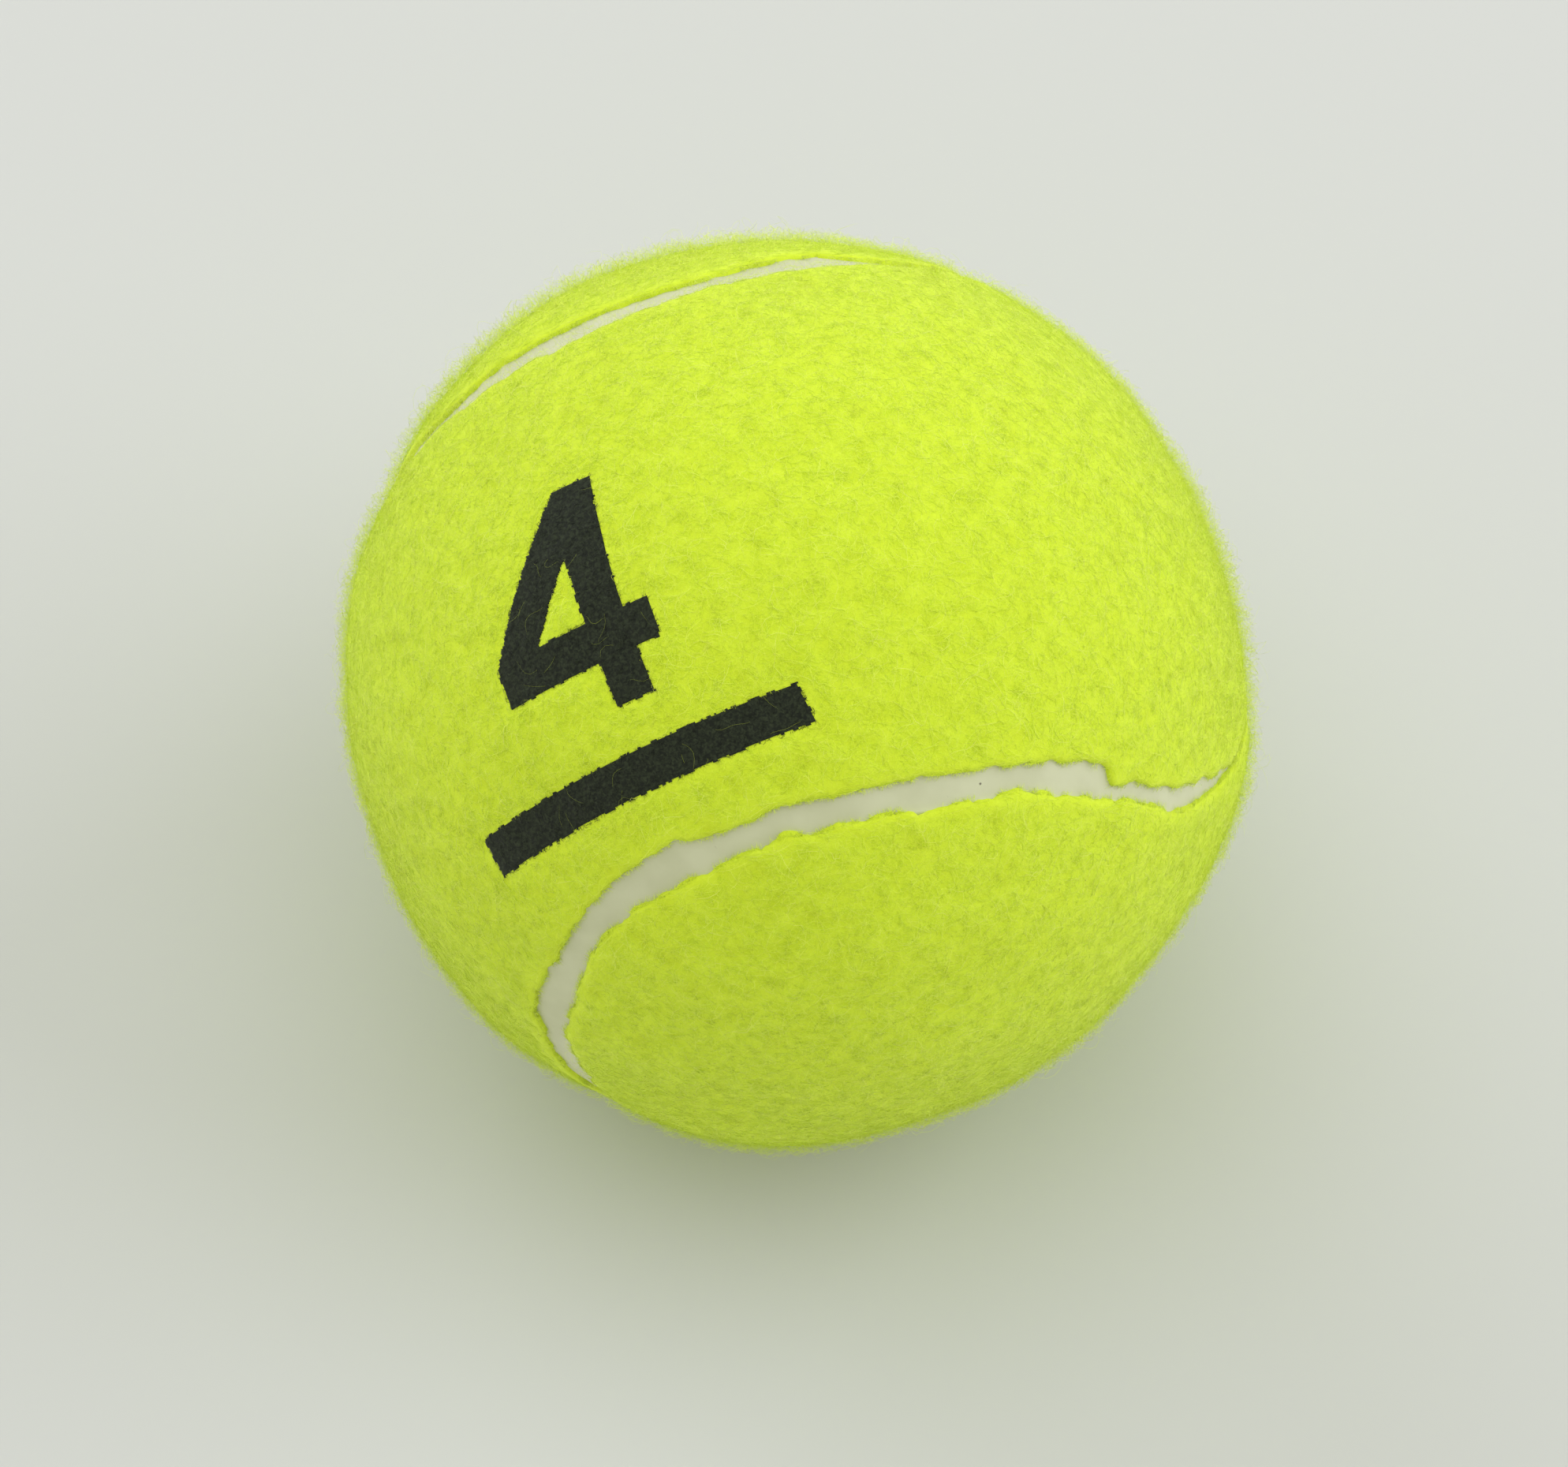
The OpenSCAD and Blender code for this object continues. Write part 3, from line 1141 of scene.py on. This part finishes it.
@dataclass
class Nap:
    """The nap of one panel: matted fibres, finer ones that stand up, strays and a fringe."""

    ball: Ball
    relief: Relief
    panel: Panel
    mat: Fibre = Fibre((0.9, 2.2), (0.022, 0.036), (0.01, 0.07), 0.1, 120, 150, rings=2)
    top: Fibre = Fibre((1.2, 3.0), (0.022, 0.036), (0.05, 0.26), 0.3, 150, 150, paler=0.32)
    halo: Fibre = Fibre((1.1, 2.6), (0.013, 0.019), (0.15, 0.80), 0.35, 220, 180, paler=0.15)
    stray: Fibre = Fibre((2.0, 4.6), (0.014, 0.020), (0.5, 1.3), 0.6, 180, 80, rings=5, paler=0.25)
    fringe: Fibre = Fibre((0.3, 0.7), (0.022, 0.036), (-0.5, 0.0), 1.0, 60, 70, rings=2, sunk=0.0, late=2.0)
    crossing: Fibre = Fibre((2.2, 4.6), (0.022, 0.030), (0.0, 0.5), 0.5, 90, 45, rings=7, paler=0.2)
    pressed: Fibre = Fibre((0.5, 1.2), (0.024, 0.038), (0.02, 0.10), 0.1, 120, 150)
    over: Fibre = Fibre((1.4, 3.6), (0.009, 0.013), (0.12, 0.30), 0.3, 120, 80, rings=7, paler=0.1)
    mat_count: int = 40000
    top_count: int = 11000
    halo_count: int = 50000
    stray_count: int = 1200
    fringe_count: int = 14000
    crossing_count: int = 3
    pressed_per_mm2: float = 16.0
    over_count: int = 40
    stained: float = 0.6
    brush_length: float = 5.0
    pull: float = 0.25
    pull_reach: float = 0.7
    loose_over: dict[Panel, float] = field(default_factory=lambda: {Panel.A: 0.08, Panel.B: 0.18})
    lofts: tuple[Swell, ...] = (
        Swell(134, 27, 0.8, 75),
        Swell(10, 6, 0.8, 45),
    )
    border: float = 1.4
    bleed: float = 0.04
    clear_of_edge: float = 0.02
    edge_depth: float = 0.15
    ball_per_panel: float = 2.12
    out_of_line: float = 0.35
    most: int = 11000
    seed: int = 200

    def roots(self, ways: Array, outwards: bool = False) -> Roots:
        """Reads the cloth at places on the panel.

        Args:
            ways: Unit vectors, of which those outside the panel are dropped.
            outwards: Whether the fibres set out over the seam, and not along the nap's brush.

        Returns:
            The roots.
        """
        inside, inwards = self.ball.seam.inside(ways, self.panel)
        kept = inside > self.clear_of_edge
        ways, inside, inwards = ways[kept], inside[kept], inwards[kept]
        points = ways * self.ball.face
        pile = self.relief.pile(ways)
        ground = self.relief.ground(ways, pile, inside)
        near = np.exp(-inside / self.pull_reach)
        if outwards:
            still = np.zeros(len(ways))
            return Roots(ways, -inwards, ground, pile, still, still)
        waves = np.stack([Grain(self.seed + i, self.brush_length).at(points) for i in range(3)], axis=1)
        brush = unit(np.cross(ways, waves))
        along = np.cross(ways, inwards)
        along *= np.where((along * brush).sum(axis=1) < 0, -1, 1)[:, None]
        beside = (along + self.pull * inwards) * near[:, None]
        headings = unit(brush * (1 - near[:, None]) + beside)
        lying = self.ball.as_it_lies(ways)
        loft = sum(swell.at(lying) for swell in self.lofts)
        return Roots(ways, headings, ground, pile, near, loft)

    def within_edge(self, strands: Strands) -> Strands:
        """Drops the fibres that reach out of the panel further than they may."""
        ways = unit(strands.points)
        ends = np.stack([ways[:, ways.shape[1] // 2], ways[:, -1]])
        inside = [self.ball.seam.inside(end, self.panel)[0] for end in ends]
        return strands.only(np.minimum(*inside) > -self.loose_over[self.panel])

    def spread(self, count: int, seed: int) -> Array:
        """Draws places all over the ball, evenly but out of line.

        Args:
            count: How many fall on one panel.
            seed: The seed of the draw.

        Returns:
            Unit vectors.
        """
        rng = np.random.default_rng(seed)
        total = int(count * self.ball_per_panel)
        number = np.arange(total) + 0.5
        level = 1 - 2 * number / total
        angle = np.pi * (1 + math.sqrt(5)) * number
        ring = np.sqrt(1 - level**2)
        even = np.stack([ring * np.cos(angle), ring * np.sin(angle), level], axis=1)
        gap = math.sqrt(4 * np.pi / total)
        return unit(even + rng.normal(0, self.out_of_line * gap, even.shape))

    def along_edge(self, count: int, seed: int) -> Array:
        """Draws places just inside the panel's edge.

        Args:
            count: How many places.
            seed: The seed of the draw.

        Returns:
            Unit vectors.
        """
        rng = np.random.default_rng(seed)
        seam = self.ball.seam
        places = []
        for arc, share in zip(Arc, np.array_split(np.arange(count), len(Arc)), strict=True):
            azimuth = rng.uniform(-seam.last_azimuth, seam.last_azimuth, len(share))
            edge_a, edge_b = seam.smooth_edges(np.full(len(share), arc.value), azimuth)
            into = rng.uniform(0.0, self.edge_depth, len(share))
            offset = edge_a + into if self.panel is Panel.A else edge_b - into
            places.append(seam.place(arc, azimuth, offset))
        return np.concatenate(places)

    def around_mark(self, seed: int) -> Array:
        """Draws places in the mark and in a border round it.

        Args:
            seed: The seed of the draw.

        Returns:
            Unit vectors.
        """
        rng = np.random.default_rng(seed)
        mark = self.relief.mark
        corners = np.concatenate(mark.loops())
        low, high = corners.min(axis=0) - self.border, corners.max(axis=0) + self.border
        count = int(np.prod(high - low) * self.pressed_per_mm2)
        flat = rng.uniform(low, high, (count, 2))
        out = np.sqrt(self.ball.face**2 - (flat**2).sum(axis=1))
        points = np.column_stack([flat, out]) @ mark.frame().T
        return unit(points[mark.depth(points) > -self.border])

    def coats(self) -> tuple[list[Strands], Strands]:
        """Grows every kind of fibre, and inks those that the mark covers.

        Returns:
            The fibres of the nap by kinds, and the fibres that stand in the ink.
        """
        ball, mark = self.ball, self.relief.mark
        first = self.seed + (50 if self.panel is Panel.B else 0)
        coats = []
        kinds = (
            (self.mat, self.mat_count),
            (self.top, self.top_count),
            (self.halo, self.halo_count),
            (self.stray, self.stray_count),
        )
        for step, (fibre, count) in enumerate(kinds):
            roots = self.roots(self.spread(count, first + step))
            grown = self.within_edge(Strands.grown(ball, roots, fibre, first + 10 + step))
            depth = mark.depth(grown.points.reshape(-1, 3)).reshape(grown.tone.shape)
            coats.append(grown.only(depth.max(axis=1) < 0))
        for step, (fibre, count) in enumerate(
            ((self.fringe, self.fringe_count), (self.crossing, self.crossing_count))
        ):
            roots = self.roots(self.along_edge(count, first + 20 + step), outwards=True)
            coats.append(Strands.grown(ball, roots, fibre, first + 30 + step))
        if self.panel is Panel.B:
            return coats, coats[0].only(slice(0))
        places = self.around_mark(first + 40)
        pressed = Strands.grown(ball, self.roots(places), self.pressed, first + 41)
        depth = mark.ragged_depth(pressed.points.reshape(-1, 3)).reshape(pressed.tone.shape)
        within = depth.min(axis=1) > -self.bleed
        near = pressed.only(~within)
        near.ink = np.clip(0.5 + depth[~within] / self.bleed, 0, 1)
        chosen = np.random.default_rng(first + 42).choice(len(places), self.over_count, replace=False)
        over = Strands.grown(ball, self.roots(places[chosen]), self.over, first + 43)
        covered = mark.depth(over.points.reshape(-1, 3)).reshape(over.tone.shape) > 0
        over.ink = np.where(covered, self.stained, 0.0)
        return [*coats, near, over], pressed.only(within)

    def build(self) -> tuple[list[bpy.types.Object], Strands]:
        """Grows the nap in slices along the panel, each small enough for its own mesh.

        Returns:
            The pieces, and the fibres that stand in the ink.
        """
        coats, inked = self.coats()
        spine, up = (0, 1) if self.panel is Panel.A else (1, -1)
        angles = [np.arctan2(c.points[:, 0, spine], up * c.points[:, 0, 2]) for c in coats]
        everywhere = np.concatenate(angles)
        slices = math.ceil(len(everywhere) / self.most)
        bounds = np.quantile(everywhere, np.linspace(0, 1, slices + 1)[1:-1])
        material = bpy.data.materials["felt_nap"]
        pieces = []
        for number in range(slices):
            parts = [
                coat.only(np.digitize(angle, bounds) == number).shape()
                for coat, angle in zip(coats, angles, strict=True)
            ]
            piece = Shape.joined(parts).to_piece(f"nap_{self.panel.value}_{number + 1}", self.ball)
            piece.data.materials.append(material)
            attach(piece, BODY)
            pieces.append(piece)
        return pieces, inked


@dataclass
class Print:
    """The printed mark: a thin inked layer in the nap, and the fibres that stand in it."""

    ball: Ball
    relief: Relief
    inked: Strands
    step: float = 0.12
    proud: float = 0.06
    thickness: float = 0.15
    grit: tuple[float, float] = (0.35, 0.012)
    tone: float = 0.3
    seed: int = 95

    def patch(self) -> Shape:
        """Builds the closed inked layer on a fine grid that is drawn to the mark's outline.

        Returns:
            The mesh.
        """
        mark = self.relief.mark
        corners = np.concatenate(mark.loops())
        low, high = corners.min(axis=0) - 2 * self.step, corners.max(axis=0) + 2 * self.step
        xs, ys = (np.arange(low[i], high[i], self.step) for i in range(2))
        flat = np.stack(np.meshgrid(xs, ys, indexing="ij"), axis=-1).reshape(-1, 2)
        out = np.sqrt(self.ball.face**2 - (flat**2).sum(axis=1))
        ways = unit(np.column_stack([flat, out]) @ mark.frame().T)
        depth = mark.ragged_depth(ways * self.ball.face)
        number = np.arange(len(flat)).reshape(len(xs), len(ys))
        cells = np.stack([number[:-1, :-1], number[1:, :-1], number[1:, 1:], number[:-1, 1:]], axis=-1)
        cells = cells.reshape(-1, 4)
        cells = cells[(depth > 0)[cells].all(axis=1)]
        used, place = np.unique(cells, return_inverse=True)
        cells, ways = place.reshape(-1, 4), ways[used]
        pile = self.relief.pile(ways)
        ground = self.relief.ground(ways, pile, np.full(len(ways), mark.far))
        grit = self.grit[1] * Grain(self.seed, self.grit[0]).at(ways * self.ball.face)
        top = ways * (ground + self.proud + grit)[:, None]
        under = ways * (ground - self.thickness)[:, None]
        rim = rim_of(cells)
        upper = np.arange(len(top))
        sides = wall(rim, upper, upper + len(top))
        faces = [np.concatenate([cells, sides, cells[:, ::-1] + len(top)])]
        values = {"tone": np.full(2 * len(top), self.tone), "ink": np.ones(2 * len(top))}
        return Shape(np.concatenate([top, under]), faces, values)

    def build(self) -> bpy.types.Object:
        """Builds the mark.

        Returns:
            The piece.
        """
        shape = Shape.joined([self.patch(), self.inked.shape()])
        piece = shape.to_piece("print_on_felt", self.ball)
        piece.data.materials.append(InkFinish().material())
        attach(piece, BODY)
        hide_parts("printed_mark")
        return piece


@dataclass
class SeamBand:
    """The rubber between the panels: one closed ring, sunk below the nap, its edges drawn up."""

    ball: Ball
    relief: Relief
    step: float = 0.75
    columns: int = 13
    tucked: float = 0.5
    creep: float = 0.12
    creep_power: int = 6
    uneven: tuple[float, float] = (5.0, 0.012)
    seed: int = 70

    def build(self) -> bpy.types.Object:
        """Builds the ring.

        Returns:
            The piece.
        """
        seam = self.ball.seam
        last = seam.last_azimuth
        order = ((Arc.B_PLUS, 1), (Arc.A_PLUS, -1), (Arc.B_MINUS, 1), (Arc.A_MINUS, -1))
        steps = int(2 * last / self.step)
        across = np.linspace(0, 1, self.columns)
        rows = []
        for arc, way in order:
            azimuth = way * np.linspace(-last, last, steps, endpoint=False)
            number = np.full(steps, arc.value)
            edge_a, edge_b = seam.smooth_edges(number, azimuth)
            low, high = edge_b - self.tucked, edge_a + self.tucked
            offset = low[:, None] + across * (high - low)[:, None]
            flat = seam.place(arc, np.repeat(azimuth, self.columns), offset.ravel())
            rows.append(flat.reshape(steps, self.columns, 3))
        ways = np.concatenate(rows)
        count = len(ways)
        meniscus = self.creep * np.abs(2 * across - 1) ** self.creep_power
        flat_ways = ways.reshape(-1, 3)
        uneven = Grain(self.seed, self.uneven[0]).at(flat_ways * self.ball.face) * self.uneven[1]
        raised = uneven + self.relief.lift(flat_ways)
        top = self.ball.seam_face + meniscus[None] + raised.reshape(count, -1)
        face = ways * top[..., None]
        under = ways[:, ::-1] * self.ball.film
        ring = np.concatenate([face, under], axis=1)
        around = ring.shape[1]
        here = np.arange(count)[:, None] * around + np.arange(around)[None]
        after = np.roll(here, -1, axis=0)
        quads = np.stack(
            [here, np.roll(here, -1, axis=1), np.roll(after, -1, axis=1), after], axis=-1
        ).reshape(-1, 4)
        shape = Shape(ring.reshape(-1, 3), [quads[:, ::-1]])
        piece = shape.to_piece("seam_band", self.ball)
        piece.data.materials.append(SeamFinish().material())
        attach(piece, BODY)
        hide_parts("seam_rubber")
        return piece


@dataclass(frozen=True)
class Core:
    """What lies beneath the cover: half shells and cement, kept as packed and dressed."""

    rubber: CoreFinish = CoreFinish("core_rubber_face", (0.055, 0.052, 0.050), (0.03, 0.03, 0.03), 2.0, 0.7)
    cement: CoreFinish = CoreFinish("cement_face", (0.52, 0.36, 0.13), (0.38, 0.25, 0.08), 1.5, 0.5)

    def dress(self) -> None:
        """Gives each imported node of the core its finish."""
        rubber, cement = self.rubber.material(), self.cement.material()
        finishes = {
            "core_shell_upper": rubber,
            "core_shell_lower": rubber,
            "core_cement_ring": cement,
            "core_cement_film": cement,
        }
        for node, material in finishes.items():
            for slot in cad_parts[node].material_slots:
                slot.material = material
            log.info("%s keeps its packed shape", node)


@dataclass(frozen=True)
class Lamp:
    """A round soft lamp that faces the ball, with lengths in metres, angles in degrees and watts."""

    name: str
    azimuth: float
    height: float
    power: float
    size: float
    distance: float = 1.6
    colour: Colour = (0.85, 0.86, 1.0)

    def place(self) -> None:
        """Sets the lamp up."""
        data = bpy.data.lights.new(self.name, "AREA")
        data.shape = "DISK"
        data.size = self.size
        data.energy = self.power
        data.color = self.colour
        way = Vector(direction(self.azimuth, self.height))
        lamp = bpy.data.objects.new(self.name, data)
        lamp.location = way * self.distance
        lamp.rotation_euler = (-way).to_track_quat("-Z", "Y").to_euler()
        bpy.context.scene.collection.objects.link(lamp)


@dataclass(frozen=True)
class Studio:
    """The pale floor, the soft light and the camera, with lengths in metres."""

    photo_size: tuple[int, int] = (1988, 1860)
    ball_in_photo: tuple[float, float] = (1006.0, 875.0)
    ball_radius_in_photo: float = 571.0
    distance_in_radii: float = 14.0
    elevation: float = 60.0
    sensor: float = 36.0
    floor_colour: Colour = (0.615, 0.622, 0.585)
    floor_bounce: Colour = (0.80, 0.81, 0.77)
    floor_half: float = 1.5
    nearest_seen: float = 0.05
    sky: Colour = (0.54, 0.54, 0.454)
    backdrop: Colour = (0.66, 0.67, 0.64)
    lamps: tuple[Lamp, ...] = (
        Lamp("top_lamp", 0, 90, 9.0, 1.8),
        Lamp("right_lamp", 7, 32, 14.0, 1.6),
        Lamp("back_lamp", 125, 25, 9.5, 1.4),
        Lamp("left_lamp", 175, 35, 4.0, 1.6),
    )

    def floor(self, ball: Ball) -> None:
        """Lays the floor that the ball stands on."""
        half = self.floor_half / MM
        low = -ball.face
        corners = np.array([(-half, -half, low), (half, -half, low), (half, half, low), (-half, half, low)])
        upright = replace(ball, lie=(0.0, 0.0, 0.0))
        piece = Shape(corners, [np.array([(0, 1, 2, 3)])]).to_piece("floor", upright, smooth=False)
        recipe = Recipe("floor_face")
        recipe.set(Roughness=0.9, Specular_IOR_Level=0.1)
        seen = recipe.tree.nodes.new("ShaderNodeLightPath").outputs["Is Camera Ray"]
        recipe.give("Base Color", recipe.ramp(seen, ((0.0, self.floor_bounce), (1.0, self.floor_colour))))
        piece.data.materials.append(recipe.material)

    def light(self) -> None:
        """Sets the sky's even light and the large soft lamps."""
        world = bpy.data.worlds.new("sky")
        world.use_nodes = True
        tree = world.node_tree
        background = tree.nodes["Background"]
        path = tree.nodes.new("ShaderNodeLightPath")
        shade = tree.nodes.new("ShaderNodeValToRGB")
        for element, colour in zip(shade.color_ramp.elements, (self.sky, self.backdrop), strict=True):
            element.color = (*colour, 1.0)
        tree.links.new(path.outputs["Is Camera Ray"], shade.inputs["Fac"])
        tree.links.new(shade.outputs["Color"], background.inputs["Color"])
        background.inputs["Strength"].default_value = 1.0
        bpy.context.scene.world = world
        for lamp in self.lamps:
            lamp.place()

    def camera(self, ball: Ball) -> None:
        """Places the camera as the photograph was taken.

        Args:
            ball: The ball, whose centre is the origin.
        """
        radius = ball.face * MM
        distance = self.distance_in_radii * radius
        focal = self.ball_radius_in_photo * math.sqrt(self.distance_in_radii**2 - 1)
        tilt = math.radians(self.elevation)
        back = Vector((0.0, -math.cos(tilt), math.sin(tilt)))
        up = Vector((0.0, math.sin(tilt), math.cos(tilt)))
        right_by = (self.photo_size[0] / 2 - self.ball_in_photo[0]) * distance / focal
        up_by = (self.ball_in_photo[1] - self.photo_size[1] / 2) * distance / focal
        aim = Vector((1.0, 0.0, 0.0)) * right_by + up * up_by
        data = bpy.data.cameras.new("camera")
        data.sensor_fit = "HORIZONTAL"
        data.sensor_width = self.sensor
        data.lens = focal / self.photo_size[0] * self.sensor
        data.clip_start = self.nearest_seen
        camera = bpy.data.objects.new("camera", data)
        place = back * distance
        way = (aim - place).to_track_quat("-Z", "Y")
        camera.matrix_world = Matrix.Translation(place) @ way.to_matrix().to_4x4()
        bpy.context.scene.collection.objects.link(camera)
        bpy.context.scene.camera = camera


def main() -> None:
    """Builds the ball's pieces in order, then the studio."""
    logging.basicConfig(level=logging.INFO, format="%(name)s: %(message)s")
    bpy.context.scene.view_settings.view_transform = "Standard"
    ball = Ball(outer_radius("felt_panel_b"), outer_radius("core_cement_film"), outer_radius("seam_rubber"))
    relief = Relief(ball)
    NapFinish().material()
    cloth = ClothFinish().material()
    Core().dress()
    for panel in Panel:
        sheet = ClothPanel(ball, relief, panel)
        piece = sheet.build()
        piece.data.materials.append(cloth)
        nap, inked = Nap(ball, relief, panel).build()
        log.info("%s has %d faces and %d slices of nap", piece.name, len(piece.data.polygons), len(nap))
        if panel is Panel.A:
            mark = Print(ball, relief, inked).build()
            log.info("%s has %d faces", mark.name, len(mark.data.polygons))
    band = SeamBand(ball, relief).build()
    log.info("%s has %d faces", band.name, len(band.data.polygons))
    studio = Studio()
    studio.floor(ball)
    studio.light()
    studio.camera(ball)
    bpy.context.view_layer.update()


if __name__ == "__main__":
    main()
